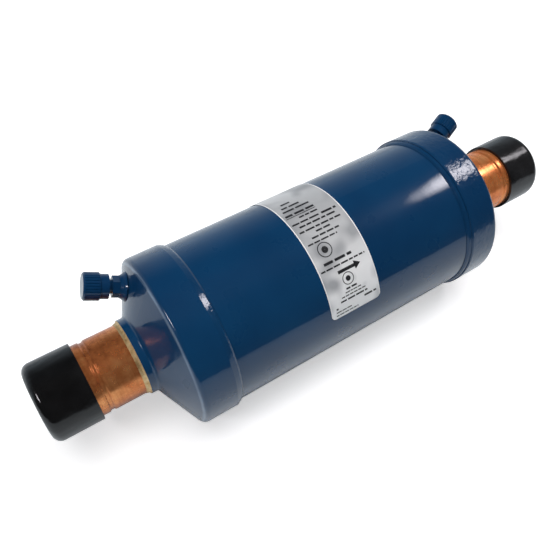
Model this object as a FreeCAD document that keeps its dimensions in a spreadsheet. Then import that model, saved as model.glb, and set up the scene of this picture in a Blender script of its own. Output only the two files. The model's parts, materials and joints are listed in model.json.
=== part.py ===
import FreeCAD
import Part
import Sketcher
import math
import os
import re

# Suction-line filter drier. Millimetres and degrees. +X runs along the flow and +Z is up.
# The origin is the centre of the inlet socket mouth, on the axis of the shell.

SIZES = {
    # joint gaps
    "joint_gap": 0.05,
    # copper connectors: the run from the neck of the cap to the mouth, and what is rolled in
    "tube_outer": 18.85,
    "tube_wall": 1.3,
    "tube_run": 45.33,
    "tube_reach": 1.5,
    "socket_depth": 23.95,
    "stop_width": 3.0,
    "stop_crest": 1.3,
    "stop_depth": 0.7,
    "stop_round": 0.5,
    # end caps: the corner is where the cone would meet the skirt
    "corner_span": 188.0,
    "skirt_slip": 0.05,
    "cap_sheet": 1.8,
    "skirt_length": 18.45,
    "cone_angle": 26.0,
    "shoulder_round": 3.0,
    "shoulder_inner_round": 1.4,
    "neck_sheet": 1.5,
    "neck_length": 3.64,
    "neck_root_round": 1.5,
    "braze_length": 2.3,
    "braze_foot": 1.3,
    # shell
    "shell_outer": 44.45,
    "shell_wall": 2.0,
    "shell_inset": 5.0,
    "weld_width": 2.5,
    "weld_height": 1.3,
    # dust caps
    "dust_cap_slip": 0.07,
    "dust_cap_wall": 1.58,
    "dust_cap_cover": 20.35,
    "dust_cap_room": 2.65,
    "dust_cap_floor": 1.6,
    "dust_cap_round": 4.6,
    "dust_cap_inner_round": 3.0,
    # label
    "label_start": 74.85,
    "label_width": 30.6,
    "label_arc": 151.0,
    "label_slip": 0.1,
    "label_foil": 0.2,
    "label_round": 2.7,
    # access valves, measured outward from the face of the cone
    "valve_setback": 11.9,
    "valve_azimuth": 39.0,
    "valve_spigot": 4.0,
    "spigot_reach": 1.4,
    "valve_boss": 5.4,
    "valve_boss_top": 3.0,
    "hex_flats": 9.52,
    "hex_top": 6.4,
    "valve_neck": 3.6,
    "valve_neck_top": 8.4,
    "valve_thread": 5.55,
    "valve_top": 17.0,
    "valve_chamfer": 0.6,
    "valve_port": 1.5,
    "valve_throat": 2.0,
    "valve_throat_depth": 3.7,
    "valve_bore": 2.7,
    "valve_ring_width": 2.2,
    "valve_ring_toe": 0.5,
    "valve_ring_lip": 0.15,
    "valve_ring_top": 2.9,
    # screw caps of the valves
    "screw_cap_slip": 0.07,
    "screw_cap_wall": 0.63,
    "screw_cap_overhang": 0.3,
    "screw_cap_collar": 4.0,
    "screw_cap_floor": 1.6,
    "screw_cap_bevel": 0.8,
    "knurl_count": 30,
    "knurl_step": 0.75,
    "knurl_rise": 0.4,
    "knurl_depth": 0.35,
    "knurl_half_width": 0.42,
    "knurl_overcut": 0.2,
    "seal_thickness": 1.6,
    "seal_gap": 0.15,
    "seal_bore": 2.6,
    # valve cores
    "core_setback": 1.0,
    "core_guide_length": 1.6,
    "core_shelf": 1.0,
    "core_wall": 0.55,
    "pin_radius": 0.85,
    "pin_slip": 0.1,
    "pin_setback": 0.5,
    "pin_float": 1.2,
    "pin_collar_lip": 0.2,
    "pin_collar_height": 0.8,
    "pin_disc_gap": 0.4,
    "pin_disc_height": 1.4,
    "pin_tail": 0.65,
    "valve_spring_room": 2.4,
    "valve_spring_gap": 0.45,
    "valve_spring_wire": 0.3,
    "valve_spring_turns": 3.5,
    # drying block and what holds it, measured along the flow from the corners
    "seat_setback": 22.4,
    "seat_sheet": 1.2,
    "seat_slip": 0.1,
    "seat_flange": 7.0,
    "seat_lip": 1.0,
    "gasket": 2.0,
    "flow_room": 10.45,
    "block_bore": 13.0,
    "wrap_felt": 1.9,
    "screen_sheet": 0.7,
    "screen_hole": 2.6,
    "screen_hole_rows": 6,
    "screen_hole_columns": 6,
    "plate_sheet": 1.2,
    "plate_rim": 7.0,
    "plate_leg_width": 9.0,
    "plate_leg_slip": 0.3,
    "plate_legs": 3,
    "spring_room": 32.0,
    "spring_setback": 2.0,
    "spring_wire": 3.0,
    "spring_turns": 3.5,
}

# Sizes that follow from the ones above, in an order in which each uses only earlier ones.
DERIVED = {
    "skirt_inner": "shell_outer + skirt_slip",
    "skirt_outer": "skirt_inner + cap_sheet",
    "neck_bore": "tube_outer + joint_gap",
    "neck_outer": "neck_bore + neck_sheet",
    "neck_end": "(skirt_outer - neck_outer) * tan(cone_angle) + neck_length",
    "tube_end": "neck_end + tube_run",
    "stop_centre": "tube_end - socket_depth - stop_width / 2",
    "dust_cap_bore": "tube_outer + dust_cap_slip",
    "dust_cap_outer": "dust_cap_bore + dust_cap_wall",
    "dust_cap_mouth": "tube_end - dust_cap_cover",
    "dust_cap_ceiling": "tube_end + dust_cap_room",
    "dust_cap_end": "dust_cap_ceiling + dust_cap_floor",
    "valve_station": "skirt_outer - valve_setback",
    "valve_height": "valve_setback * tan(cone_angle)",
    "valve_spigot_end": "cap_sheet + spigot_reach",
    "valve_ring_bore": "valve_boss + joint_gap",
    "valve_ring_foot": "valve_ring_bore + valve_ring_width",
    "core_top": "valve_top - core_setback",
    "pin_top": "valve_top - pin_setback",
    "pin_collar_at": "core_top - core_guide_length - pin_float - pin_collar_height",
    "valve_bore_floor": "pin_collar_at - valve_spring_room - core_shelf - 2 * joint_gap",
    "valve_port_top": "valve_bore_floor - valve_throat_depth",
    "pin_disc": "valve_throat - pin_disc_gap",
    "core_guide": "pin_radius + pin_slip",
    "core_outer": "valve_bore - joint_gap",
    "core_chamber": "core_outer - core_wall",
    "valve_spring_mean": "pin_radius + valve_spring_gap + valve_spring_wire / 2",
    "pin_collar": "valve_spring_mean + valve_spring_wire / 2 + pin_collar_lip",
    "screw_cap_bore": "valve_thread + screw_cap_slip",
    "screw_cap_plain": "screw_cap_bore + screw_cap_wall",
    "screw_cap_knurled": "screw_cap_plain + knurl_step",
    "screw_cap_mouth": "valve_neck_top - screw_cap_overhang",
    "screw_cap_step": "screw_cap_mouth + screw_cap_collar",
    "seal_top": "valve_top + seal_gap + seal_thickness",
    "screw_cap_ceiling": "seal_top + joint_gap",
    "screw_cap_top": "screw_cap_ceiling + screw_cap_floor",
    "seal_outer": "screw_cap_bore - 3 * joint_gap",
    "shell_inner": "shell_outer - shell_wall",
    "seat_face": "corner_span - seat_setback",
    "seat_hole": "block_bore - seat_lip",
    "block_outer": "shell_inner - flow_room",
    "block_start": "spring_room + gasket",
    "block_end": "seat_face - gasket",
    "block_length": "block_end - block_start",
    "wrap_outer": "block_outer + joint_gap + wrap_felt",
    "screen_outer": "block_bore - joint_gap",
    "plate_inner": "block_outer + wrap_felt + 6 * joint_gap",
    "spring_mean": "block_outer - spring_setback",
}

FUNCTIONS = (
    "tan",
    "cos",
    "sin",
    "atan",
    "placement",
    "vector",
    "rotationx",
    "rotationy",
    "rotationz",
)

UP = FreeCAD.Vector(0, 0, 1)
INLET = -1
OUTLET = 1
SIDES = ((INLET, "inlet"), (OUTLET, "outlet"))

# Where the lines of a sketch lie before its formulas place them.
DRAFT_CENTRE = 30
DRAFT_RADIUS = 10

# Forms that several sub-parts share, written in the sizes above.
TUBE_INNER = "(tube_outer - tube_wall)"


def outer_cone(radius):
    """Height of the cone's outer face over the corner at a radius."""
    return f"((skirt_outer - {radius}) * tan(cone_angle))"


def inner_cone(radius):
    """Height of the cone's inner face over the corner at a radius."""
    return f"({outer_cone(radius)} - cap_sheet / cos(cone_angle))"


def formula(text):
    """Turns names of sizes into references to the sheet."""

    def reference(match):
        word = match.group(0)
        return word if word in FUNCTIONS else "Sizes." + word

    return re.sub(r"[a-z_]+", reference, text)


def write_sheet(doc):
    sheet = doc.addObject("Spreadsheet::Sheet", "Sizes")
    cells = [(name, str(value)) for name, value in SIZES.items()]
    cells += [(name, "=" + text) for name, text in DERIVED.items()]
    for row, (name, content) in enumerate(cells, start=1):
        sheet.set(f"A{row}", name)
        sheet.set(f"B{row}", content)
        sheet.setAlias(f"B{row}", name)
    doc.recompute()
    return sheet


def origin_plane(body, role):
    return next(item for item in body.Origin.OriginFeatures if item.Role == role)


def new_body(doc, label):
    body = doc.addObject("PartDesign::Body", label)
    body.Label = label
    return body


def new_sketch(body, name, role, height=None):
    """A sketch on one of the body's own planes, lifted by a height if one is given."""
    sketch = body.newObject("Sketcher::SketchObject", name)
    sketch.AttachmentSupport = [(origin_plane(body, role), "")]
    sketch.MapMode = "FlatFace"
    if height is not None:
        sketch.setExpression("AttachmentOffset.Base.z", formula(height))
    return sketch


def pin_vertex(sketch, line, across, along):
    """Holds the start of a line at two formulas from the sketch origin."""
    start = sketch.Geometry[line].StartPoint
    for kind, value, text in (("DistanceX", start.x, across), ("DistanceY", start.y, along)):
        index = sketch.addConstraint(Sketcher.Constraint(kind, -1, 1, line, 1, value))
        sketch.setExpression(f"Constraints[{index}]", formula(text))


def draw_outline(sketch, points):
    """A closed outline whose corners lie at pairs of formulas."""
    count = len(points)
    ring = [
        FreeCAD.Vector(
            DRAFT_CENTRE + DRAFT_RADIUS * math.cos(2 * math.pi * step / count),
            DRAFT_RADIUS * math.sin(2 * math.pi * step / count),
            0,
        )
        for step in range(count)
    ]
    for step in range(count):
        sketch.addGeometry(Part.LineSegment(ring[step], ring[(step + 1) % count]), False)
    for step in range(count):
        follower = (step + 1) % count
        sketch.addConstraint(Sketcher.Constraint("Coincident", step, 2, follower, 1))
    for step, (across, along) in enumerate(points):
        pin_vertex(sketch, step, across, along)


def draw_circle(sketch, across, along, radius):
    circle = Part.Circle(FreeCAD.Vector(DRAFT_CENTRE, DRAFT_CENTRE, 0), UP, DRAFT_RADIUS)
    line = sketch.addGeometry(circle, False)
    for kind, text in (("DistanceX", across), ("DistanceY", along)):
        index = sketch.addConstraint(Sketcher.Constraint(kind, -1, 1, line, 3, DRAFT_CENTRE))
        sketch.setExpression(f"Constraints[{index}]", formula(text))
    index = sketch.addConstraint(Sketcher.Constraint("Radius", line, DRAFT_RADIUS))
    sketch.setExpression(f"Constraints[{index}]", formula(radius))


def revolve(doc, label, points):
    """A body turned about its own Z axis from an outline of (radius, height) corners."""
    body = new_body(doc, label)
    sketch = new_sketch(body, label + "_profile", "XZ_Plane")
    draw_outline(sketch, points)
    turned = body.newObject("PartDesign::Revolution", label + "_turned")
    turned.Profile = sketch
    turned.ReferenceAxis = (sketch, ["V_Axis"])
    turned.Angle = 360
    doc.recompute()
    return body, sketch


def round_corners(doc, body, sketch, rounds):
    """Rounds the circular edges that the numbered corners of the outline sweep."""
    for corner, size in rounds:
        point = sketch.Geometry[corner].StartPoint
        base = body.Tip
        names = []
        for number, edge in enumerate(base.Shape.Edges, start=1):
            if not isinstance(edge.Curve, Part.Circle):
                continue
            same_radius = abs(edge.Curve.Radius - point.x) < 1e-4
            same_height = abs(edge.Curve.Center.z - point.y) < 1e-4
            if same_radius and same_height:
                names.append(f"Edge{number}")
        fillet = body.newObject("PartDesign::Fillet", f"{body.Label}_round_{corner}")
        fillet.Base = (base, names)
        fillet.setExpression("Radius", formula(size))
        doc.recompute()


def place(body, text):
    body.setExpression("Placement", formula(text))


def place_end(body, side):
    """Seats a body on an end: its Z axis points out of the shell and its X axis points up."""
    if side == INLET:
        place(body, "placement(vector(tube_end; 0; 0); rotationy(-90))")
    else:
        place(
            body,
            "placement(vector(tube_end + corner_span; 0; 0); rotationy(90) * rotationz(180))",
        )


def place_inside(body):
    """Seats a body at the inlet corner: its Z axis follows the flow and its X axis points up."""
    place(body, "placement(vector(tube_end; 0; 0); rotationy(90) * rotationz(180))")


def place_valve(body, side):
    """Seats a body on the cone of an end cap, square to the cone's face."""
    station = "tube_end - " if side == INLET else "tube_end + corner_span + "
    tilt = "-(90 - cone_angle)" if side == INLET else "(90 - cone_angle)"
    base = (
        f"vector({station}valve_height; valve_station * sin(valve_azimuth);"
        " valve_station * cos(valve_azimuth))"
    )
    place(body, f"placement({base}; rotationx(-valve_azimuth) * rotationy({tilt}))")


def make_shell(doc):
    body, _ = revolve(
        doc,
        "shell_tube",
        [
            ("shell_inner", "shell_inset"),
            ("shell_outer", "shell_inset"),
            ("shell_outer", "corner_span - shell_inset"),
            ("shell_inner", "corner_span - shell_inset"),
        ],
    )
    place_inside(body)


def make_end_cap(doc, side, name):
    body, sketch = revolve(
        doc,
        name + "_end_cap",
        [
            ("skirt_outer", "-skirt_length"),
            ("skirt_outer", "0"),
            ("neck_outer", outer_cone("neck_outer")),
            ("neck_outer", "neck_end"),
            ("neck_bore", "neck_end"),
            ("neck_bore", inner_cone("neck_bore")),
            ("skirt_inner", inner_cone("skirt_inner")),
            ("skirt_inner", "-skirt_length"),
        ],
    )
    rounds = (
        (1, "shoulder_round"),
        (2, "neck_root_round"),
        (5, "neck_root_round"),
        (6, "shoulder_inner_round"),
    )
    round_corners(doc, body, sketch, rounds)
    hole = body.newObject("PartDesign::SubtractiveCylinder", name + "_valve_hole")
    hole.setExpression("Radius", formula("valve_spigot + joint_gap"))
    hole.setExpression("Height", formula("6 * cap_sheet"))
    turn = "valve_azimuth" if side == INLET else "-valve_azimuth"
    hole.setExpression(
        "Placement",
        formula(
            f"placement(vector(valve_station * cos(valve_azimuth); valve_station * sin({turn});"
            f" valve_height); rotationz({turn}) * rotationy(cone_angle))"
            " * placement(vector(0; 0; -3 * cap_sheet); rotationx(0))"
        ),
    )
    doc.recompute()
    place_end(body, side)


def make_connector(doc, side, name):
    half = "stop_width / 2"
    crest = "stop_crest / 2"
    inner_end = inner_cone("neck_bore") + " - tube_reach"
    body, sketch = revolve(
        doc,
        name + "_connector",
        [
            ("tube_outer", inner_end),
            ("tube_outer", f"stop_centre - {half}"),
            ("tube_outer - stop_depth", f"stop_centre - {crest}"),
            ("tube_outer - stop_depth", f"stop_centre + {crest}"),
            ("tube_outer", f"stop_centre + {half}"),
            ("tube_outer", "tube_end"),
            (TUBE_INNER, "tube_end"),
            (TUBE_INNER, f"stop_centre + {half}"),
            (TUBE_INNER + " - stop_depth", f"stop_centre + {crest}"),
            (TUBE_INNER + " - stop_depth", f"stop_centre - {crest}"),
            (TUBE_INNER, f"stop_centre - {half}"),
            (TUBE_INNER, inner_end),
        ],
    )
    round_corners(doc, body, sketch, [(corner, "stop_round") for corner in (1, 2, 3, 4)])
    place_end(body, side)


def make_braze_ring(doc, side, name):
    body, _ = revolve(
        doc,
        name + "_braze_ring",
        [
            ("neck_bore", "neck_end"),
            ("neck_bore + braze_foot", "neck_end"),
            ("neck_bore + braze_foot * 0.4", "neck_end + braze_length * 0.4"),
            ("neck_bore + braze_foot * 0.12", "neck_end + braze_length"),
            ("neck_bore", "neck_end + braze_length"),
        ],
    )
    place_end(body, side)


def make_girth_weld(doc, side, name):
    bore = "shell_outer + joint_gap"
    body, sketch = revolve(
        doc,
        name + "_girth_weld",
        [
            (bore, "-skirt_length"),
            (bore + " + weld_height", "-skirt_length"),
            (bore + " + weld_height * 0.75", "-skirt_length - weld_width * 0.6"),
            (bore + " + weld_height * 0.15", "-skirt_length - weld_width"),
            (bore, "-skirt_length - weld_width"),
        ],
    )
    place_end(body, side)


def make_dust_cap(doc, side, name):
    body, sketch = revolve(
        doc,
        name + "_dust_cap",
        [
            ("dust_cap_outer", "dust_cap_mouth"),
            ("dust_cap_outer", "dust_cap_end"),
            ("0", "dust_cap_end"),
            ("0", "dust_cap_ceiling"),
            ("dust_cap_bore", "dust_cap_ceiling"),
            ("dust_cap_bore", "dust_cap_mouth"),
        ],
    )
    round_corners(doc, body, sketch, ((1, "dust_cap_round"), (4, "dust_cap_inner_round")))
    place_end(body, side)


def make_label(doc):
    body = new_body(doc, "label")
    sketch = new_sketch(body, "label_profile", "XZ_Plane")
    inner = "shell_outer + label_slip"
    draw_outline(
        sketch,
        [
            (inner, "label_start"),
            (inner + " + label_foil", "label_start"),
            (inner + " + label_foil", "label_start + label_width"),
            (inner, "label_start + label_width"),
        ],
    )
    turned = body.newObject("PartDesign::Revolution", "label_turned")
    turned.Profile = sketch
    turned.ReferenceAxis = (sketch, ["V_Axis"])
    turned.setExpression("Angle", formula("label_arc"))
    turned.Midplane = True
    doc.recompute()
    names = [
        f"Edge{number}"
        for number, edge in enumerate(turned.Shape.Edges, start=1)
        if edge.Length < 2 * SIZES["label_foil"]
    ]
    fillet = body.newObject("PartDesign::Fillet", "label_corners")
    fillet.Base = (turned, names)
    fillet.setExpression("Radius", formula("label_round"))
    doc.recompute()
    place_inside(body)


def make_valve_body(doc, side, name):
    body, sketch = revolve(
        doc,
        name + "_valve_body",
        [
            ("valve_port", "-valve_spigot_end"),
            ("valve_spigot", "-valve_spigot_end"),
            ("valve_spigot", "joint_gap"),
            ("valve_boss", "joint_gap"),
            ("valve_boss", "valve_boss_top"),
            ("valve_neck", "valve_boss_top"),
            ("valve_neck", "valve_neck_top"),
            ("valve_thread", "valve_neck_top"),
            ("valve_thread", "valve_top - valve_chamfer"),
            ("valve_thread - valve_chamfer", "valve_top"),
            ("valve_bore", "valve_top"),
            ("valve_bore", "valve_bore_floor"),
            ("valve_throat", "valve_bore_floor"),
            ("valve_throat", "valve_port_top"),
            ("valve_port", "valve_port_top"),
        ],
    )
    hexagon = new_sketch(body, name + "_hexagon", "XY_Plane", "valve_boss_top")
    corner = "hex_flats / (2 * cos(30))"
    draw_outline(
        hexagon,
        [(f"{corner} * cos({angle})", f"{corner} * sin({angle})") for angle in range(0, 360, 60)],
    )
    draw_circle(hexagon, "0", "0", "valve_neck - joint_gap")
    pad = body.newObject("PartDesign::Pad", name + "_hexagon_pad")
    pad.Profile = hexagon
    pad.setExpression("Length", formula("hex_top - valve_boss_top"))
    doc.recompute()
    place_valve(body, side)


def make_valve_ring(doc, side, name):
    body, _ = revolve(
        doc,
        name + "_valve_braze_ring",
        [
            ("valve_ring_bore", "joint_gap"),
            ("valve_ring_foot", "joint_gap"),
            ("valve_ring_foot - valve_ring_toe", "valve_ring_top * 0.25"),
            ("valve_ring_bore + valve_ring_width * 0.4", "valve_ring_top * 0.55"),
            ("valve_ring_bore + valve_ring_lip", "valve_ring_top"),
            ("valve_ring_bore", "valve_ring_top"),
        ],
    )
    place_valve(body, side)


def make_screw_cap(doc, side, name):
    body, sketch = revolve(
        doc,
        name + "_valve_cap",
        [
            ("screw_cap_bore", "screw_cap_mouth"),
            ("screw_cap_plain", "screw_cap_mouth"),
            ("screw_cap_plain", "screw_cap_step"),
            ("screw_cap_knurled", "screw_cap_step + knurl_rise"),
            ("screw_cap_knurled", "screw_cap_top - screw_cap_bevel"),
            ("screw_cap_knurled - screw_cap_bevel", "screw_cap_top"),
            ("0", "screw_cap_top"),
            ("0", "screw_cap_ceiling"),
            ("screw_cap_bore", "screw_cap_ceiling"),
        ],
    )
    groove = new_sketch(body, name + "_knurl", "XY_Plane", "screw_cap_step")
    draw_outline(
        groove,
        [
            ("screw_cap_knurled - knurl_depth", "0"),
            ("screw_cap_knurled + knurl_overcut", "-knurl_half_width"),
            ("screw_cap_knurled + knurl_overcut", "knurl_half_width"),
        ],
    )
    pocket = body.newObject("PartDesign::Pocket", name + "_knurl_cut")
    pocket.Profile = groove
    pocket.Reversed = True
    pocket.setExpression("Length", formula("screw_cap_top - screw_cap_step + knurl_overcut"))
    pattern = body.newObject("PartDesign::PolarPattern", name + "_knurl_ring")
    pattern.Originals = [pocket]
    pattern.Axis = (groove, ["N_Axis"])
    pattern.Angle = 360
    pattern.setExpression("Occurrences", formula("knurl_count"))
    body.Tip = pattern
    doc.recompute()
    place_valve(body, side)


def make_cap_seal(doc, side, name):
    body, _ = revolve(
        doc,
        name + "_cap_seal",
        [
            ("seal_bore", "seal_top - seal_thickness"),
            ("seal_outer", "seal_top - seal_thickness"),
            ("seal_outer", "seal_top"),
            ("seal_bore", "seal_top"),
        ],
    )
    place_valve(body, side)


def make_valve_core(doc, side, name):
    floor = "valve_bore_floor + joint_gap"
    body, _ = revolve(
        doc,
        name + "_valve_core",
        [
            ("core_guide", floor),
            ("core_outer", floor),
            ("core_outer", "core_top"),
            ("core_guide", "core_top"),
            ("core_guide", "core_top - core_guide_length"),
            ("core_chamber", "core_top - core_guide_length"),
            ("core_chamber", floor + " + core_shelf"),
            ("core_guide", floor + " + core_shelf"),
        ],
    )
    place_valve(body, side)


def make_valve_pin(doc, side, name):
    disc_top = "valve_bore_floor - joint_gap"
    disc_foot = disc_top + " - pin_disc_height"
    body, _ = revolve(
        doc,
        name + "_valve_pin",
        [
            ("0", disc_foot + " - pin_tail"),
            ("pin_radius", disc_foot + " - pin_tail"),
            ("pin_radius", disc_foot),
            ("pin_disc", disc_foot),
            ("pin_disc", disc_top),
            ("pin_radius", disc_top),
            ("pin_radius", "pin_collar_at"),
            ("pin_collar", "pin_collar_at"),
            ("pin_collar", "pin_collar_at + pin_collar_height"),
            ("pin_radius", "pin_collar_at + pin_collar_height"),
            ("pin_radius", "pin_top"),
            ("0", "pin_top"),
        ],
    )
    place_valve(body, side)


def draw_wire(sketch, across, along, radius):
    """Draws the section of a spring's wire as an octagon, which sweeps into plain faces."""
    points = []
    for corner in range(8):
        angle = 22.5 + 45 * corner
        points.append(
            (
                f"{across} + {radius} * cos({angle})",
                f"{along} + {radius} * sin({angle})",
            )
        )
    draw_outline(sketch, points)


def add_coil(doc, body, sketch, turns, height):
    """Sweeps a wire's section along a helix about the body's Z axis."""
    coil = body.newObject("PartDesign::AdditiveHelix", body.Label + "_coil")
    coil.Profile = sketch
    coil.ReferenceAxis = (sketch, ["V_Axis"])
    coil.Mode = "height-turns-angle"
    coil.setExpression("Turns", formula(turns))
    coil.setExpression("Height", formula(height))
    coil.Angle = 0
    doc.recompute()
    return coil


def make_valve_spring(doc, side, name):
    body = new_body(doc, name + "_valve_spring")
    sketch = new_sketch(body, name + "_wire", "XZ_Plane")
    floor = "(valve_bore_floor + 2 * joint_gap + core_shelf + valve_spring_wire / 2)"
    draw_wire(sketch, "valve_spring_mean", floor, "(valve_spring_wire / 2)")
    top = "(pin_collar_at - joint_gap - valve_spring_wire / 2)"
    add_coil(doc, body, sketch, "valve_spring_turns", f"{top} - {floor}")
    place_valve(body, side)


def make_seat(doc):
    outer = "shell_inner - seat_slip"
    body, sketch = revolve(
        doc,
        "outlet_core_seat",
        [
            ("seat_hole", "seat_face"),
            (outer, "seat_face"),
            (outer, "seat_face + seat_sheet + seat_flange"),
            (outer + " - seat_sheet", "seat_face + seat_sheet + seat_flange"),
            (outer + " - seat_sheet", "seat_face + seat_sheet"),
            ("seat_hole", "seat_face + seat_sheet"),
        ],
    )
    round_corners(doc, body, sketch, ((1, "2 * seat_sheet"),))
    place_inside(body)


def make_ring(doc, label, inner, outer, start, end):
    body, _ = revolve(doc, label, [(inner, start), (outer, start), (outer, end), (inner, end)])
    place_inside(body)
    return body


def make_block_stack(doc):
    make_ring(doc, "desiccant_core", "block_bore", "block_outer", "block_start", "block_end")
    make_ring(
        doc, "core_wrap", "block_outer + joint_gap", "wrap_outer", "block_start", "block_end"
    )
    make_ring(doc, "outlet_core_gasket", "block_bore", "block_outer", "block_end", "seat_face")
    make_ring(doc, "inlet_core_gasket", "block_bore", "block_outer", "spring_room", "block_start")


def make_screen(doc):
    body, _ = revolve(
        doc,
        "core_inner_screen",
        [
            ("screen_outer - screen_sheet", "block_start"),
            ("screen_outer", "block_start"),
            ("screen_outer", "block_end"),
            ("screen_outer - screen_sheet", "block_end"),
        ],
    )
    sketch = new_sketch(body, "screen_holes", "YZ_Plane")
    pitch = "block_length / (screen_hole_rows + 1)"
    draw_circle(sketch, "0", f"block_start + {pitch}", "screen_hole")
    hole = body.newObject("PartDesign::Pocket", "screen_hole_cut")
    hole.Profile = sketch
    hole.Reversed = True
    hole.setExpression("Length", formula("block_bore * 2"))
    multi = body.newObject("PartDesign::MultiTransform", "screen_hole_field")
    rows = body.newObject("PartDesign::LinearPattern", "screen_hole_rows")
    rows.Direction = (sketch, ["V_Axis"])
    rows.setExpression("Length", formula(f"{pitch} * (screen_hole_rows - 1)"))
    rows.setExpression("Occurrences", formula("screen_hole_rows"))
    columns = body.newObject("PartDesign::PolarPattern", "screen_hole_columns")
    columns.Axis = (sketch, ["V_Axis"])
    columns.Angle = 360
    columns.setExpression("Occurrences", formula("screen_hole_columns"))
    multi.Originals = [hole]
    multi.Transformations = [rows, columns]
    body.Tip = multi
    doc.recompute()
    place_inside(body)


def make_core_plate(doc):
    """A shallow closed cup over the inlet end of the block, with legs that reach the shell."""
    rim = f"(plate_inner + plate_sheet)"
    floor = f"(spring_room - plate_sheet)"
    body, sketch = revolve(
        doc,
        "inlet_core_plate",
        [
            ("0", floor),
            (rim, floor),
            (rim, "spring_room + plate_rim"),
            ("plate_inner", "spring_room + plate_rim"),
            ("plate_inner", "spring_room"),
            ("0", "spring_room"),
        ],
    )
    round_corners(doc, body, sketch, ((1, "plate_sheet"),))
    leg = new_sketch(body, "plate_leg", "XZ_Plane")
    outer = "shell_inner - plate_leg_slip"
    edge = "spring_room + plate_rim"
    draw_outline(
        leg,
        [
            (rim + " - plate_sheet / 2", edge + " - plate_sheet"),
            (outer, edge + " - plate_sheet"),
            (outer, edge + " + plate_rim"),
            (outer + " - plate_sheet", edge + " + plate_rim"),
            (outer + " - plate_sheet", edge),
            (rim + " - plate_sheet / 2", edge),
        ],
    )
    pad = body.newObject("PartDesign::Pad", "plate_leg_pad")
    pad.Profile = leg
    pad.setExpression("Length", formula("plate_leg_width"))
    pad.Midplane = True
    pattern = body.newObject("PartDesign::PolarPattern", "plate_leg_ring")
    pattern.Originals = [pad]
    pattern.Axis = (leg, ["V_Axis"])
    pattern.Angle = 360
    pattern.setExpression("Occurrences", formula("plate_legs"))
    body.Tip = pattern
    doc.recompute()
    place_inside(body)


def make_core_spring(doc):
    """A wide spring from the cone of the inlet end cap down to the core plate."""
    body = new_body(doc, "core_spring")
    sketch = new_sketch(body, "spring_section", "XZ_Plane")
    far = f"(spring_room - plate_sheet - joint_gap - spring_wire / 2)"
    near = f"(-{inner_cone('spring_mean')} + spring_wire * 0.7)"
    draw_wire(sketch, "spring_mean", near, "(spring_wire / 2)")
    add_coil(doc, body, sketch, "spring_turns", f"{far} - {near}")
    place_inside(body)


END_PARTS = (
    make_end_cap,
    make_connector,
    make_braze_ring,
    make_girth_weld,
    make_dust_cap,
    make_valve_body,
    make_valve_ring,
    make_screw_cap,
    make_cap_seal,
    make_valve_core,
    make_valve_pin,
    make_valve_spring,
)

BODY_PARTS = (
    make_shell,
    make_label,
    make_seat,
    make_block_stack,
    make_screen,
    make_core_plate,
    make_core_spring,
)


def check(doc):
    """Stops the build if any object is in error or any sub-part isn't one valid solid."""
    for item in doc.Objects:
        if {"Invalid", "Error"} & set(item.State):
            raise RuntimeError(f"{item.Label} has state {item.State}")
    for body in doc.findObjects("PartDesign::Body"):
        shape = body.Shape
        if shape.isNull() or not shape.isValid() or len(shape.Solids) != 1:
            raise RuntimeError(f"{body.Label} is not one valid solid")


def export(doc):
    os.makedirs("parts", exist_ok=True)
    for body in doc.findObjects("PartDesign::Body"):
        body.Shape.exportStep(f"parts/{body.Label}.step")


def main():
    doc = FreeCAD.newDocument("filter_drier")
    write_sheet(doc)
    for make in BODY_PARTS:
        make(doc)
    for side, name in SIDES:
        for make in END_PARTS:
            make(doc, side, name)
    doc.recompute()
    check(doc)
    export(doc)


main()
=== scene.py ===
import json
import math
import random

import bmesh
import bpy
from mathutils import Matrix, Vector


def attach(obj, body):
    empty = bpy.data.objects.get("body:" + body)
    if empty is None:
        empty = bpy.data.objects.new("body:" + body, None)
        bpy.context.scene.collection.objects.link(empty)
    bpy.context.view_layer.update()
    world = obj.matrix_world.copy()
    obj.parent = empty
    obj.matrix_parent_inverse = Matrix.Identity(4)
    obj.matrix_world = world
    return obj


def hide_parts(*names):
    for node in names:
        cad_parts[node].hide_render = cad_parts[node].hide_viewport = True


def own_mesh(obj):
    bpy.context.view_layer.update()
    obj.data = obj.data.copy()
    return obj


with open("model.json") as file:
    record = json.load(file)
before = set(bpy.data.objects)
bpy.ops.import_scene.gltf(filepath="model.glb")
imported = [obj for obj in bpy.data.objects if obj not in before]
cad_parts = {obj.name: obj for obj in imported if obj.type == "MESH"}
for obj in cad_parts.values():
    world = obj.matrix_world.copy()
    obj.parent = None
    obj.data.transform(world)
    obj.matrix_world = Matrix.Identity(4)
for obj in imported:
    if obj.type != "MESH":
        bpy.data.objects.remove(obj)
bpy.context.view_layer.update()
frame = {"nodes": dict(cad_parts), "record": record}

# Sizes of the part, in metres. The axis of the shell is X, and the inlet mouth is at the origin.
INLET_CORNER = 0.0616
CORNER_SPAN = 0.188
OUTLET_CORNER = INLET_CORNER + CORNER_SPAN
SKIRT_RADIUS = 0.0463
SHELL_RADIUS = 0.04445
LABEL_START = INLET_CORNER + 0.07485
LABEL_WIDTH = 0.0306
LABEL_RADIUS = SHELL_RADIUS + 0.0003
# Width of the painted highlight along the label's two edges.
LABEL_RIM_HIGHLIGHT = 0.0005
# The heights over the axis between which the painted shade on the foil fades, from greyest at the
# top to none.
FOIL_SHADE_TOP = 0.046
FOIL_SHADE_END = 0.03
# The table's height, just under the skirts.
FLOOR = -SKIRT_RADIUS - 0.0003
CONE_ANGLE = math.radians(26)
SHELL_MIDDLE = INLET_CORNER + CORNER_SPAN / 2
# Where a cap's skirt starts to turn in to its weld, from the shell's middle.
SEAM_REACH = CORNER_SPAN / 2 - 0.0171
# The ring of painted highlight on a cap's corner, where the face leans along X by more than
# CONE_LEAN.
EDGE_RADIUS = 0.0445
EDGE_WIDTH = 0.0011
CONE_LEAN = 0.6
VALVE_STATION = 0.0344
VALVE_AZIMUTH = math.radians(39)

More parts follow.
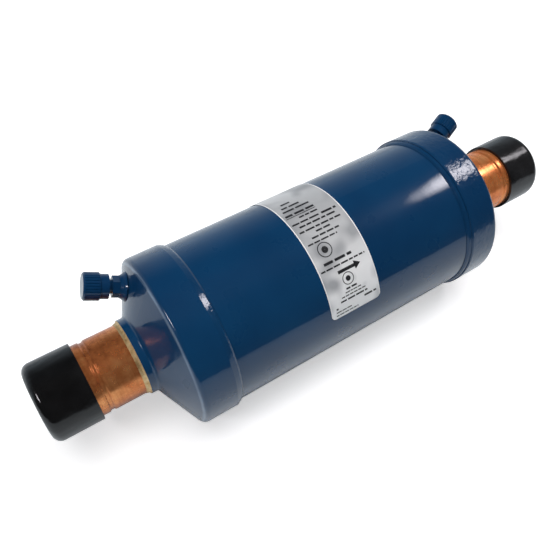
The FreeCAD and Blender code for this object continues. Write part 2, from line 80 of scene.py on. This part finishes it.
# The ridge of the thread on a valve body, from the valve's foot. Its root and crest lie near
# the plain cylinder of the solid, and their half widths are in pitches.
THREAD_RADIUS = 0.00555
THREAD_PITCH = 0.00127
THREAD_START = 0.0092
THREAD_END = 0.0160
THREAD_STEPS = 32
RUN_OUT_STEPS = 10
ROOT_DEPTH = 0.0001
CREST_DEPTH = 0.00003
CREST_RISE = 0.00005
ROOT_HALF = 0.45
CREST_HALF = 0.12

# The camera, as found from the photograph.
CAMERA_PLACE = Vector((0.01516, -0.17988, 0.26369))
CAMERA_RIGHT = Vector((0.83604, -0.54866, 0.0))
CAMERA_FORWARD = Vector((0.34867, 0.5313, -0.77211))
CAMERA_FOCAL_PIXELS = 617.3
PHOTO_PIXELS = 560

# The table's left, right, near and far edges.
TABLE = (-0.45, 0.85, -0.36, 0.75)
# Between these places along Y, what the paint mirrors of the table darkens to TABLE_NEAR_SHADE:
# painted shade towards the table's near edge.
TABLE_DIM = (-0.2, -0.4)
TABLE_NEAR_SHADE = (0.5, 0.55, 0.6)
# The table's tone for the camera, and the light that lifts it to white there.
TABLE_SEEN = (0.87, 0.87, 0.87)
TABLE_LIFT = 0.52

# The room's brightness by the height of the direction looked in, over the far side of the table.
ROOM_GLOW = ((0.0, 0.6), (0.1, 0.5), (0.36, 0.3), (0.56, 0.16), (0.7, 0.05), (1.0, 0.04))
ROOM_TINT = (0.83, 0.97, 1.08)
ROOM_DARK = (0.04, 0.04, 0.04)
ROOM_FAR = (0.0, 0.45)

# Lamps: place, what each is aimed at, size, and power in watts.
SOFTBOXES = {
    "right_softbox": ((0.75, -0.11, 0.67), (0.2, 0, 0), (0.4, 0.21), 1.4),
    "left_softbox": ((-0.6, -0.1, 0.6), (0.06, 0, 0), (0.5, 0.11), 1.8),
    "far_softbox": ((0.93, -0.1, 0.67), (0.29, 0, 0), (0.3, 0.24), 0.65),
}
SOFTBOX_TINT = (1, 0.96, 1)
OVERHEAD = ((0.1, -0.1, 1.6), (0.155, 0, 0), (1.6, 1.6), 22)

# What the metal under the paint adds: the scale, strength and height of its waves.
WELD_WAVES = (330, 0.3, 0.0006)
INLET_WAVES = (300, 0.12, 0.0004)
OUTLET_WAVES = (340, 0.3, 0.0008)

COAT_ROUGHNESS = 0.03
# How metallic the painted highlight ring on a cap's corner is where it is strongest.
HIGHLIGHT_METAL = 0.65

# Tones, each from its darkest to its lightest.
NAVY = ((0.0022, 0.033, 0.098), (0.0036, 0.048, 0.130))
NAVY_SPECK = (0.00792, 0.1056, 0.286)
# The lighter colour of the painted highlight on a cap's corner.
NAVY_EDGE_HIGHLIGHT = (0.17, 0.25, 0.37)
COPPER_BROWN = ((0.28, 0.075, 0.024), (0.72, 0.225, 0.07), (0.98, 0.43, 0.16))
# Painted light: a lighter copy of the copper tones, for the outlet connector, standing in for the
# brighter light on it.
COPPER_LIT = ((0.55, 0.14, 0.04), (0.97, 0.29, 0.085), (1.0, 0.43, 0.16))
COPPER_RING = (0.40, 0.12, 0.035)
# The grey of the painted shade over the label's top, then the white of the painted highlight along
# its edges.
FOIL_TOP_SHADE = (0.3, 0.31, 0.32)
FOIL_RIM_HIGHLIGHT = (0.97, 0.97, 0.97)
VINYL_BLACK = ((0.0028, 0.0028, 0.003), (0.008, 0.008, 0.0086))
# Painted light: a lighter copy of the vinyl tones, for the outlet's dust cap, standing in for the
# brighter light on it.
VINYL_LIT = ((0.007, 0.007, 0.0075), (0.02, 0.02, 0.0214))


def fill_inputs(node, values):
    """Sets the values of a node's inputs, by name or number."""
    for socket, value in values.items():
        node.inputs[socket].default_value = value


def fill_ramp(ramp, stops):
    """Sets a colour ramp's stops, each a position and a colour."""
    elements = ramp.color_ramp.elements
    while len(elements) < len(stops):
        elements.new(0.5)
    for element, (position, color) in zip(elements, stops):
        element.position = position
        element.color = (*color, 1)


class Nodes:
    """A short way to write a material's nodes."""

    def __init__(self, name):
        self.material = bpy.data.materials.new(name)
        self.material.use_nodes = True
        self.tree = self.material.node_tree
        self.tree.nodes.clear()
        self.output = self.add("ShaderNodeOutputMaterial")
        self.shader = self.add("ShaderNodeBsdfPrincipled")
        self.join(self.shader, "BSDF", self.output, "Surface")
        self.place = self.add("ShaderNodeTexCoord")

    def add(self, kind, **values):
        node = self.tree.nodes.new(kind)
        for key, value in values.items():
            setattr(node, key, value)
        return node

    def join(self, source, output, target, socket):
        self.tree.links.new(source.outputs[output], target.inputs[socket])

    def noise(self, scale, detail=3.0, stretch=(1, 1, 1), roughness=0.55):
        """Noise in metres of the object; a stretch under 1 draws it out along that axis."""
        mapping = self.add("ShaderNodeMapping")
        fill_inputs(mapping, {"Scale": stretch})
        self.join(self.place, "Object", mapping, "Vector")
        noise = self.add("ShaderNodeTexNoise")
        fill_inputs(noise, {"Scale": scale, "Detail": detail, "Roughness": roughness})
        self.join(mapping, "Vector", noise, "Vector")
        return noise

    def ramp(self, source, stops, output="Fac"):
        ramp = self.add("ShaderNodeValToRGB")
        fill_ramp(ramp, stops)
        self.join(source, output, ramp, "Fac")
        return ramp

    def grey_ramp(self, source, low, high, start=0.3, end=0.7, output="Fac"):
        stops = ((start, (low, low, low)), (end, (high, high, high)))
        return self.ramp(source, stops, output)

    def split(self, output="Object"):
        """The X, Y and Z of the place in the object, or of another output of it."""
        axes = self.add("ShaderNodeSeparateXYZ")
        self.join(self.place, output, axes, "Vector")
        return axes

    def mix(self, factor, first, second):
        """Mixes two colours; factor is a (node, output) pair, and so may either colour be."""
        mix = self.add("ShaderNodeMix", data_type="RGBA")
        self.tree.links.new(factor[0].outputs[factor[1]], mix.inputs[0])
        for socket, value in ((6, first), (7, second)):
            if isinstance(value[0], bpy.types.Node):
                self.tree.links.new(value[0].outputs[value[1]], mix.inputs[socket])
            else:
                mix.inputs[socket].default_value = (*value, 1)
        return mix

    def bump(self, source, strength, distance, output="Fac", before=None):
        bump = self.add("ShaderNodeBump")
        fill_inputs(bump, {"Strength": strength, "Distance": distance})
        self.join(source, output, bump, "Height")
        if before is not None:
            self.join(before, "Normal", bump, "Normal")
        return bump

    def math(self, operation, first, second=None):
        """One sum of one or two values, each a number or a (node, output) pair."""
        node = self.add("ShaderNodeMath", operation=operation)
        for index, value in enumerate((first, second)):
            if isinstance(value, tuple):
                self.tree.links.new(value[0].outputs[value[1]], node.inputs[index])
            elif value is not None:
                node.inputs[index].default_value = value
        return (node, 0)

    def finish(self, color, roughness, bump, metallic=0.0, coat=0.0, specular=0.5):
        """Fills the shader; color and roughness are (node, output) pairs."""
        self.tree.links.new(color[0].outputs[color[1]], self.shader.inputs["Base Color"])
        self.tree.links.new(roughness[0].outputs[roughness[1]], self.shader.inputs["Roughness"])
        self.join(bump, "Normal", self.shader, "Normal")
        fill_inputs(self.shader, {"Coat Weight": coat, "Coat Roughness": COAT_ROUGHNESS})
        fill_inputs(self.shader, {"Specular IOR Level": specular})
        if metallic:
            fill_inputs(self.shader, {"Metallic": metallic})
        return self.material


def paint_material(name, waves=None, slope=0.0, edge=None):
    """Enamel on pressed steel: slow changes of depth, orange peel and a few dust specks.

    Waves are the scale, strength and height of what the metal under the paint adds. Slope is
    how steeply it falls towards the shell at a cap's seam. Edge is the colour of a painted
    highlight round the corner between the cap's cone and its skirt, where the paint is also
    made more metallic.
    """
    nodes = Nodes(name)
    clouds = nodes.noise(22, detail=2)
    tone = nodes.ramp(clouds, tuple(zip((0.3, 0.72), NAVY)))
    specks = nodes.noise(1500, detail=2, roughness=0.7)
    mask = nodes.grey_ramp(specks, 0, 0.35, 0.74, 0.8)
    color = nodes.mix((mask, "Color"), (tone, "Color"), NAVY_SPECK)
    gloss = nodes.grey_ramp(nodes.noise(60, detail=4), 0.255, 0.36)
    relief = nodes.bump(nodes.noise(70, detail=1), 0.12, 0.0006)
    if waves:
        scale, strength, height = waves
        relief = nodes.bump(nodes.noise(scale, detail=2), strength, height, before=relief)
    if slope:
        off_middle = nodes.math("SUBTRACT", (nodes.split(), "X"), SHELL_MIDDLE)
        reach = nodes.math("ABSOLUTE", off_middle)
        past_seam = nodes.math("MAXIMUM", nodes.math("SUBTRACT", SEAM_REACH, reach), 0.0)
        fall = nodes.math("MULTIPLY", past_seam, -slope)
        relief = nodes.bump(fall[0], 1.0, 1.0, output=0, before=relief)
    # A painted highlight: a lighter, patchy ring round the cap's corner, also made more metallic.
    if edge:
        lean = nodes.math("ABSOLUTE", (nodes.split("Normal"), "X"))
        outside = nodes.math("GREATER_THAN", lean, CONE_LEAN)
        across = nodes.add("ShaderNodeVectorMath", operation="MULTIPLY")
        fill_inputs(across, {1: (0, 1, 1)})
        nodes.join(nodes.place, "Object", across, "Vector")
        radius = nodes.add("ShaderNodeVectorMath", operation="LENGTH")
        nodes.join(across, "Vector", radius, "Vector")
        off_ring = nodes.math("SUBTRACT", (radius, "Value"), EDGE_RADIUS)
        off_ring = nodes.math("DIVIDE", nodes.math("ABSOLUTE", off_ring), EDGE_WIDTH)
        ring = nodes.grey_ramp(off_ring[0], 1, 0, 0.2, 1.0, output=0)
        patchy = nodes.grey_ramp(nodes.noise(55, detail=3), 0.45, 1.0, 0.35, 0.6)
        edge_highlight = nodes.math("MULTIPLY", outside, (patchy, 0))
        edge_highlight = nodes.math("MULTIPLY", (ring, "Color"), edge_highlight)
        color = nodes.mix(edge_highlight, (color, 2), edge)
        shine = nodes.math("MULTIPLY", edge_highlight, HIGHLIGHT_METAL)
        nodes.join(shine[0], 0, nodes.shader, "Metallic")
    peel = nodes.bump(nodes.noise(900, detail=1), 0.06, 0.0002, before=relief)
    nodes.join(peel, "Normal", nodes.shader, "Coat Normal")
    return nodes.finish((color, 2), (gloss, "Color"), peel, coat=1.0, specular=0.1)


def copper_material(name, tones, metallic):
    """Drawn copper: rings of the drawing die, brown heat tint and finger marks."""
    nodes = Nodes(name)
    patches = nodes.noise(60, detail=6, stretch=(0.8, 1, 1), roughness=0.78)
    tone = nodes.ramp(patches, tuple(zip((0.32, 0.48, 0.68), tones)))
    rings = nodes.noise(700, detail=3, stretch=(1, 0.06, 0.06))
    ring_mask = nodes.grey_ramp(rings, 0, 0.5, 0.45, 0.7)
    color = nodes.mix((ring_mask, "Color"), (tone, "Color"), COPPER_RING)
    gloss = nodes.grey_ramp(nodes.noise(120, detail=4), 0.14, 0.34)
    drawn = nodes.bump(rings, 0.18, 0.0002)
    dents = nodes.bump(nodes.noise(90, detail=1), 0.14, 0.0006, before=drawn)
    return nodes.finish((color, 2), (gloss, "Color"), dents, metallic=metallic)


def braze_material():
    """Brazing alloy, flowed and scaled."""
    nodes = Nodes("braze_alloy")
    tone = nodes.ramp(
        nodes.noise(260, detail=5, roughness=0.7),
        ((0.3, (0.50, 0.28, 0.11)), (0.5, (0.76, 0.52, 0.25)), (0.7, (0.88, 0.70, 0.42))),
    )
    gloss = nodes.grey_ramp(nodes.noise(400, detail=2), 0.35, 0.6)
    flow = nodes.bump(nodes.noise(420, detail=3), 0.5, 0.0004)
    return nodes.finish((tone, "Color"), (gloss, "Color"), flow, metallic=0.75)


def vinyl_material(name, tones):
    """Dipped black vinyl: smooth and shiny, with small waves."""
    nodes = Nodes(name)
    tone = nodes.ramp(nodes.noise(90, detail=4), tuple(zip((0.3, 0.75), tones)))
    gloss = nodes.grey_ramp(nodes.noise(50, detail=3), 0.1, 0.24)
    waves = nodes.bump(nodes.noise(130, detail=2, stretch=(0.5, 1, 1)), 0.35, 0.0011)
    skin = nodes.bump(nodes.noise(1400, detail=1), 0.05, 0.0002, before=waves)
    return nodes.finish((tone, "Color"), (gloss, "Color"), skin)


def foil_material():
    """Silvered label stock, with soft grey patches of painted reflection, painted shade over the
    shell's top, and a painted highlight along its rim.
    """
    nodes = Nodes("silver_foil")
    # Soft grey patches: painted reflections of crinkled foil.
    tone = nodes.ramp(
        nodes.noise(75, detail=1), ((0.3, (0.42, 0.43, 0.45)), (0.56, (0.95, 0.955, 0.96)))
    )
    place = nodes.split()
    off_middle = nodes.math("SUBTRACT", (place, "X"), LABEL_START + LABEL_WIDTH / 2)
    reach = nodes.math("ABSOLUTE", off_middle)
    # The painted highlight along the label's edges.
    rim = nodes.math("GREATER_THAN", reach, LABEL_WIDTH / 2 - LABEL_RIM_HIGHLIGHT)
    # Painted shade: the foil greys towards the shell's top.
    unshaded = nodes.add("ShaderNodeMapRange")
    fill_inputs(unshaded, {"From Min": FOIL_SHADE_TOP, "From Max": FOIL_SHADE_END, "To Min": 0.15})
    nodes.join(place, "Z", unshaded, "Value")
    foil = nodes.mix((unshaded, "Result"), FOIL_TOP_SHADE, (tone, "Color"))
    color = nodes.mix(rim, (foil, 2), FOIL_RIM_HIGHLIGHT)
    gloss = nodes.grey_ramp(nodes.noise(55, detail=3), 0.42, 0.6)
    skin = nodes.bump(nodes.noise(160, detail=3), 0.12, 0.0004)
    return nodes.finish((color, 2), (gloss, "Color"), skin, metallic=0.08)


def ink_material():
    """Black print, slightly uneven."""
    nodes = Nodes("printing_ink")
    tone = nodes.ramp(
        nodes.noise(900, detail=2), ((0.3, (0.006, 0.006, 0.007)), (0.8, (0.035, 0.035, 0.04)))
    )
    gloss = nodes.grey_ramp(nodes.noise(300), 0.35, 0.5)
    skin = nodes.bump(nodes.noise(900), 0.1, 0.0001)
    return nodes.finish((tone, "Color"), (gloss, "Color"), skin)


def metal_material(name, dark, light, low, high, scale, metallic=1.0):
    """A plain finish: tones from dark to light, roughness from low to high, noise of a scale."""
    nodes = Nodes(name)
    tone = nodes.ramp(nodes.noise(scale, detail=4), ((0.3, dark), (0.7, light)))
    gloss = nodes.grey_ramp(nodes.noise(scale * 2, detail=3), low, high)
    skin = nodes.bump(nodes.noise(scale * 6, detail=2), 0.15, 0.0002)
    return nodes.finish((tone, "Color"), (gloss, "Color"), skin, metallic=metallic)


def desiccant_material():
    """Pressed beads and binder."""
    nodes = Nodes("moulded_desiccant")
    cells = nodes.add("ShaderNodeTexVoronoi")
    fill_inputs(cells, {"Scale": 700})
    nodes.join(nodes.place, "Object", cells, "Vector")
    tone = nodes.ramp(
        cells, ((0.0, (0.62, 0.55, 0.43)), (0.6, (0.42, 0.36, 0.27))), output="Distance"
    )
    gloss = nodes.grey_ramp(nodes.noise(300), 0.8, 0.95)
    beads = nodes.bump(cells, 0.6, 0.0006, output="Distance")
    return nodes.finish((tone, "Color"), (gloss, "Color"), beads)


def felt_material():
    """Matted fibres."""
    nodes = Nodes("filter_felt")
    tone = nodes.ramp(
        nodes.noise(800, detail=5, roughness=0.8),
        ((0.3, (0.55, 0.53, 0.47)), (0.7, (0.8, 0.78, 0.72))),
    )
    gloss = nodes.grey_ramp(nodes.noise(300), 0.85, 1.0)
    fibres = nodes.bump(nodes.noise(1600, detail=4, stretch=(1, 0.3, 1)), 0.6, 0.0005)
    return nodes.finish((tone, "Color"), (gloss, "Color"), fibres)


def floor_material():
    """A pale table, lifted to white for the camera alone; the object's shadow stays on it.

    What the paint mirrors of it is cooler, and darker towards the near edge with painted shade.
    """
    nodes = Nodes("pale_table")
    tone = nodes.ramp(
        nodes.noise(3, detail=2), ((0.3, (0.78, 0.84, 0.87)), (0.7, (0.80, 0.86, 0.89)))
    )
    near = nodes.add("ShaderNodeMapRange", interpolation_type="SMOOTHSTEP")
    fill_inputs(near, {"From Min": TABLE_DIM[0], "From Max": TABLE_DIM[1]})
    nodes.join(nodes.split(), "Y", near, "Value")
    tone = nodes.mix((near, "Result"), (tone, "Color"), TABLE_NEAR_SHADE)
    gloss = nodes.grey_ramp(nodes.noise(8), 0.6, 0.7)
    skin = nodes.bump(nodes.noise(40), 0.02, 0.0002)
    path = nodes.add("ShaderNodeLightPath")
    tone = nodes.mix((path, "Is Camera Ray"), (tone, 2), TABLE_SEEN)
    lift = nodes.math("MULTIPLY", (path, "Is Camera Ray"), TABLE_LIFT)
    fill_inputs(nodes.shader, {"Emission Color": (1, 1, 1, 1)})
    nodes.join(lift[0], lift[1], nodes.shader, "Emission Strength")
    return nodes.finish((tone, 2), (gloss, "Color"), skin)


def new_mesh(name, build, body, material):
    """A mesh piece that build(bm) fills, riding on a body."""
    mesh = bpy.data.meshes.new(name)
    bm = bmesh.new()
    build(bm)
    bm.normal_update()
    bm.to_mesh(mesh)
    bm.free()
    piece = bpy.data.objects.new(name, mesh)
    bpy.context.collection.objects.link(piece)
    mesh.materials.append(material)
    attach(piece, body)
    return piece


# The print stands this far off the foil, and a bar is cut into facets of about this height.
INK_LIFT = 0.0001
PRINT_FACET = 0.0012
# Words and gaps as shares of a row's height; a rest shorter than SHORT_REST joins its word.
WORD_LENGTHS = (1.4, 3.6)
SHORT_REST = 0.8
BAR_HEIGHT = 0.62
WORD_GAP = 0.5
ROW_SLACK = 0.0004
# Half the width of the arrow's head as a share of its length.
HEAD_HALF = 0.62
RING_SIDES = 48

# Rows of print: angle in degrees, then start, end and height in millimetres.
PRINT_ROWS = (
    (-17.0, 5.6, 11.0, 2.0),
    (-12.5, 4.0, 14.5, 2.0),
    (-8.5, 2.8, 18.5, 1.9),
    (-3.8, 2.0, 19.0, 2.2),
    (0.8, 7.8, 18.8, 1.5),
    (4.8, 1.6, 17.5, 1.5),
    (4.8, 19.2, 28.0, 2.0),
    (8.2, 4.2, 25.6, 1.6),
    (12.0, 2.2, 27.0, 1.5),
    (15.2, 10.4, 18.8, 1.5),
    (18.6, 6.2, 22.6, 1.5),
    (21.9, 2.2, 19.8, 1.3),
    (37.3, 4.6, 21.2, 2.2),
    (41.0, 1.4, 28.0, 1.3),
    (57.7, 11.4, 17.8, 1.5),
    (60.0, 10.4, 20.0, 0.8),
    (62.2, 7.6, 22.4, 0.9),
    (64.8, 6.6, 23.2, 1.4),
    (68.3, 3.2, 4.4, 1.6),
    (68.3, 20.8, 28.4, 1.7),
    (70.8, 3.0, 12.4, 0.9),
    (73.2, 2.8, 16.4, 0.9),
)

# Start, end, angle and height of the line under the fourth row.
UNDERLINE = (0.0014, 0.019, -1.7, 0.0004)
# Rings and the dots in them: place along the label, angle, radius and width.
RINGS = (
    (0.0090, 28.5, 0.0040, 0.0005),
    (0.0142, 51.5, 0.0033, 0.0004),
    (0.0090, 28.5, 0.0018, 0.0017),
    (0.0142, 51.5, 0.0014, 0.0013),
)
# Start, end, angle, thickness and length of head.
FLOW_ARROW = (0.0099, 0.0236, 45.5, 0.0016, 0.0036)


def on_label(along, angle):
    """A point of print: metres from the label's inlet edge, degrees from its top to the camera."""
    turn = math.radians(angle)
    radius = LABEL_RADIUS + INK_LIFT
    return Vector((LABEL_START + along, -radius * math.sin(turn), radius * math.cos(turn)))


def add_patch(bm, start, end, angle, height):
    """One dark bar of print on the curved label; sizes in metres, angle in degrees."""
    half = math.degrees(height / 2 / LABEL_RADIUS)
    steps = max(1, round(height / PRINT_FACET))
    columns = []
    for step in range(steps + 1):
        turn = angle - half + 2 * half * step / steps
        columns.append([bm.verts.new(on_label(x, turn)) for x in (start, end)])
    for low, high in zip(columns, columns[1:]):
        bm.faces.new((low[0], low[1], high[1], high[0]))


def add_words(bm, start, end, angle, height, seed):
    """A row of plain bars as long as words, with gaps between them."""
    dice = random.Random(seed)
    place = start
    while place < end - ROW_SLACK:
        size = min(end - place, height * dice.uniform(*WORD_LENGTHS))
        if end - place - size < height * SHORT_REST:
            size = end - place
        add_patch(bm, place, place + size, angle, height * BAR_HEIGHT)
        place += size + height * WORD_GAP


def add_ring(bm, along, angle, radius, width):
    """A printed ring mark."""
    loops = []
    for side in range(RING_SIDES):
        turn = 2 * math.pi * side / RING_SIDES
        pair = []
        for reach in (radius, radius - width):
            across = math.degrees(reach * math.sin(turn) / LABEL_RADIUS)
            point = on_label(along + reach * math.cos(turn), angle + across)
            pair.append(bm.verts.new(point))
        loops.append(pair)
    for low, high in zip(loops, loops[1:] + loops[:1]):
        bm.faces.new((low[0], high[0], high[1], low[1]))


def add_arrow(bm, start, end, angle, thickness, head):
    """The flow arrow: a bar with a triangular head towards the outlet."""
    add_patch(bm, start, end - head, angle, thickness)
    half = math.degrees(head * HEAD_HALF / LABEL_RADIUS)
    corners = ((end - head, angle - half), (end, angle), (end - head, angle + half))
    bm.faces.new([bm.verts.new(on_label(x, turn)) for x, turn in corners])


def build_print(bm):
    """All that is printed on the label: rows of bars, a line, rings and the flow arrow."""
    for seed, (angle, start, end, height) in enumerate(PRINT_ROWS):
        add_words(bm, start / 1000, end / 1000, angle, height / 1000, seed)
    add_patch(bm, *UNDERLINE)
    for ring in RINGS:
        add_ring(bm, *ring)
    add_arrow(bm, *FLOW_ARROW)


def valve_matrix(side):
    """Where an access valve stands: origin on the cone's face, Z along the valve's axis."""
    rise = (SKIRT_RADIUS - VALVE_STATION) * math.tan(CONE_ANGLE)
    station = INLET_CORNER - rise if side < 0 else OUTLET_CORNER + rise
    base = Vector(
        (
            station,
            VALVE_STATION * math.sin(VALVE_AZIMUTH),
            VALVE_STATION * math.cos(VALVE_AZIMUTH),
        )
    )
    turn = Matrix.Rotation(-VALVE_AZIMUTH, 4, "X")
    tilt = Matrix.Rotation(side * (math.pi / 2 - CONE_ANGLE), 4, "Y")
    return Matrix.Translation(base) @ turn @ tilt


def build_thread(bm):
    """A helical ridge round the top of a valve body, with run-outs at both ends."""
    turns = (THREAD_END - THREAD_START) / THREAD_PITCH
    count = round(turns * THREAD_STEPS)
    rows = []
    for step in range(count + 1):
        turn = 2 * math.pi * step / THREAD_STEPS
        height = THREAD_START + THREAD_PITCH * step / THREAD_STEPS
        run_out = min(1, step / RUN_OUT_STEPS, (count - step) / RUN_OUT_STEPS)
        root = THREAD_RADIUS - ROOT_DEPTH
        crest = THREAD_RADIUS - CREST_DEPTH + CREST_RISE * run_out
        section = (
            (root, -ROOT_HALF),
            (crest, -CREST_HALF),
            (crest, CREST_HALF),
            (root, ROOT_HALF),
        )
        row = []
        for radius, offset in section:
            x, y = radius * math.cos(turn), radius * math.sin(turn)
            row.append(bm.verts.new((x, y, height + offset * THREAD_PITCH)))
        rows.append(row)
    for low, high in zip(rows, rows[1:]):
        for index in range(len(low)):
            after = (index + 1) % len(low)
            bm.faces.new((low[index], high[index], high[after], low[after]))
    bm.faces.new(rows[0])
    bm.faces.new(reversed(rows[-1]))


def add_valve_springs():
    """The springs in the valves, drawn again as copies riding on the housing, with the originals
    hidden.
    """
    for side, name in ((-1, "inlet"), (1, "outlet")):
        node = frame["nodes"][name + "_valve_spring"]
        spring = bpy.data.objects.new(name + "_pin_spring", node.data.copy())
        bpy.context.collection.objects.link(spring)
        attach(spring, "housing")
        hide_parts(name + "_valve_spring")
        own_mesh(spring)


MATERIALS = {
    "paint": paint_material("navy_enamel"),
    "foil": foil_material(),
    "zinc": metal_material("zinc_plate", (0.45, 0.46, 0.48), (0.66, 0.67, 0.69), 0.3, 0.5, 60),
    "desiccant": desiccant_material(),
    "felt": felt_material(),
    "spring_steel": metal_material(
        "spring_wire", (0.32, 0.33, 0.35), (0.5, 0.51, 0.53), 0.25, 0.4, 200
    ),
    "copper": copper_material("drawn_copper", COPPER_BROWN, 0.72),
    "braze": braze_material(),
    "vinyl": vinyl_material("black_vinyl", VINYL_BLACK),
    "seal": metal_material(
        "seal_rubber", (0.02, 0.02, 0.02), (0.04, 0.04, 0.04), 0.6, 0.8, 300, metallic=0.0
    ),
    "brass": metal_material("turned_brass", (0.55, 0.38, 0.14), (0.75, 0.55, 0.24), 0.2, 0.4, 250),
}

WELD = paint_material("painted_weld", WELD_WAVES, slope=0.1)

# Nodes that don't wear their slot's material.
OWN_MATERIALS = {
    "inlet_girth_weld": WELD,
    "outlet_girth_weld": WELD,
    "inlet_end_cap": paint_material("inlet_cap", INLET_WAVES, slope=0.3, edge=NAVY_EDGE_HIGHLIGHT),
    "outlet_end_cap": paint_material("outlet_cap", OUTLET_WAVES, slope=0.3, edge=NAVY_EDGE_HIGHLIGHT),
    # The outlet's copper is a lit copy of the drawn copper: painted light.
    "outlet_connector": copper_material("lit_copper", COPPER_LIT, 0.6),
    # The outlet's dust cap is a lit copy of the black vinyl: painted light.
    "outlet_dust_cap": vinyl_material("lit_vinyl", VINYL_LIT),
}


def dress_nodes():
    """Gives every node of the frame its material."""
    for entry in frame["record"]["subparts"]:
        name = entry["node"]
        materials = frame["nodes"][name].data.materials
        materials.clear()
        materials.append(OWN_MATERIALS.get(name) or MATERIALS[entry["material_slot"]])


def light(name, place, target, size, power):
    """An elliptical lamp at a place, aimed at a target."""
    data = bpy.data.lights.new(name, "AREA")
    data.shape = "ELLIPSE"
    data.size, data.size_y = size
    data.energy = power
    lamp = bpy.data.objects.new(name, data)
    lamp.location = place
    lamp.rotation_euler = (Vector(target) - Vector(place)).to_track_quat("-Z", "Y").to_euler()
    bpy.context.collection.objects.link(lamp)
    return lamp


def soften(lamp):
    """Tints a lamp, and lets its brightness fall off from its middle to its rim."""
    lamp.data.color = SOFTBOX_TINT
    lamp.data.use_nodes = True
    tree = lamp.data.node_tree
    emission = tree.nodes["Emission"]
    place = tree.nodes.new("ShaderNodeNewGeometry")
    off_middle = tree.nodes.new("ShaderNodeVectorMath")
    off_middle.operation = "DISTANCE"
    fill_inputs(off_middle, {1: (0.5, 0.5, 0)})
    tree.links.new(place.outputs["Parametric"], off_middle.inputs[0])
    fall = tree.nodes.new("ShaderNodeMapRange")
    fall.interpolation_type = "SMOOTHSTEP"
    fill_inputs(fall, {"From Min": 0.5, "From Max": 0.1, "To Max": 2.0})
    tree.links.new(off_middle.outputs["Value"], fall.inputs["Value"])
    tree.links.new(fall.outputs["Result"], emission.inputs["Strength"])


def set_world():
    """White where the camera looks, and for everything else a dim room with a pale far side."""
    world = bpy.data.worlds.new("studio")
    world.use_nodes = True
    bpy.context.scene.world = world
    tree = world.node_tree
    tree.nodes.clear()
    output = tree.nodes.new("ShaderNodeOutputWorld")
    place = tree.nodes.new("ShaderNodeTexCoord")
    split = tree.nodes.new("ShaderNodeSeparateXYZ")
    tree.links.new(place.outputs["Generated"], split.inputs["Vector"])
    glow = tree.nodes.new("ShaderNodeValToRGB")
    fill_ramp(glow, [(height, [level * c for c in ROOM_TINT]) for height, level in ROOM_GLOW])
    tree.links.new(split.outputs["Z"], glow.inputs["Fac"])
    far = tree.nodes.new("ShaderNodeMapRange")
    far.interpolation_type = "SMOOTHSTEP"
    fill_inputs(far, {"From Min": ROOM_FAR[0], "From Max": ROOM_FAR[1]})
    tree.links.new(split.outputs["Y"], far.inputs["Value"])
    shade = tree.nodes.new("ShaderNodeMix")
    shade.data_type = "RGBA"
    fill_inputs(shade, {6: (*ROOM_DARK, 1)})
    tree.links.new(far.outputs["Result"], shade.inputs[0])
    tree.links.new(glow.outputs["Color"], shade.inputs[7])
    room = tree.nodes.new("ShaderNodeBackground")
    tree.links.new(shade.outputs[2], room.inputs["Color"])
    white = tree.nodes.new("ShaderNodeBackground")
    fill_inputs(white, {"Color": (1, 1, 1, 1)})
    mix = tree.nodes.new("ShaderNodeMixShader")
    path = tree.nodes.new("ShaderNodeLightPath")
    tree.links.new(path.outputs["Is Camera Ray"], mix.inputs["Fac"])
    tree.links.new(room.outputs["Background"], mix.inputs[1])
    tree.links.new(white.outputs["Background"], mix.inputs[2])
    tree.links.new(mix.outputs["Shader"], output.inputs["Surface"])


def set_camera():
    """The photograph's camera."""
    data = bpy.data.cameras.new("photo_camera")
    data.lens = CAMERA_FOCAL_PIXELS / PHOTO_PIXELS * data.sensor_width
    data.clip_start = 0.01
    data.clip_end = 20
    camera = bpy.data.objects.new("photo_camera", data)
    bpy.context.collection.objects.link(camera)
    up = CAMERA_RIGHT.cross(CAMERA_FORWARD)
    rotation = Matrix((CAMERA_RIGHT, up, -CAMERA_FORWARD)).transposed().to_4x4()
    camera.matrix_world = Matrix.Translation(CAMERA_PLACE) @ rotation
    bpy.context.scene.camera = camera


def set_floor():
    """A pale table that ends where the paint's reflection of it does in the photograph."""
    mesh = bpy.data.meshes.new("table_top")
    left, right, near, far = TABLE
    corners = [(left, near, FLOOR), (right, near, FLOOR), (right, far, FLOOR), (left, far, FLOOR)]
    mesh.from_pydata(corners, [], [(0, 1, 2, 3)])
    floor = bpy.data.objects.new("table_top", mesh)
    bpy.context.collection.objects.link(floor)
    mesh.materials.append(floor_material())


dress_nodes()
new_mesh("label_print", build_print, "housing", ink_material())
for side, name in ((-1, "inlet"), (1, "outlet")):
    thread = new_mesh(name + "_valve_thread", build_thread, "housing", MATERIALS["paint"])
    thread.data.transform(valve_matrix(side))
add_valve_springs()

set_world()
set_camera()
set_floor()
for name, values in SOFTBOXES.items():
    soften(light(name, *values))
light("overhead", *OVERHEAD).visible_glossy = False

bpy.context.scene.view_settings.view_transform = "Standard"
